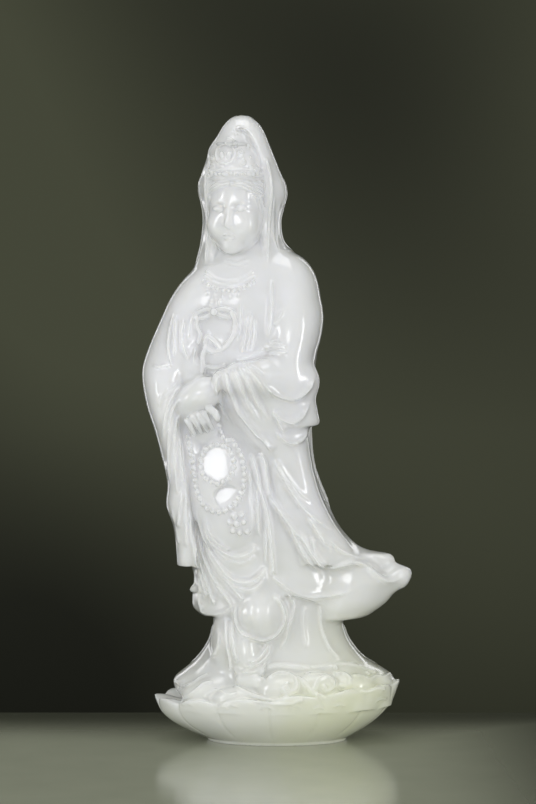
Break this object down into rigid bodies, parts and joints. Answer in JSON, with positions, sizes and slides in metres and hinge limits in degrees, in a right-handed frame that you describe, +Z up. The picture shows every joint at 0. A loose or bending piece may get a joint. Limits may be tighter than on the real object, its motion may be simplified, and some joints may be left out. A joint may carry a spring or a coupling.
{
  "type": "guanyin figure",
  "caption": "Carved white jade figure of Guanyin in a veil and flowing robes, holding a rosary and standing on a lotus plinth.",
  "frame": {"origin": "on the ground plane, under the middle of the lotus plinth and of the whole figure's plan", "axes": "+Z is up through the figure's standing height, the figure faces -Y, +X is towards its left hand"},
  "size_m": [0.0859, 0.0518, 0.2],
  "materials": {
    "white_jade": "polished, translucent white nephrite"
  },
  "bodies": {
    "root": {"guanyin_figure": "white_jade"}
  },
  "joints": []
}
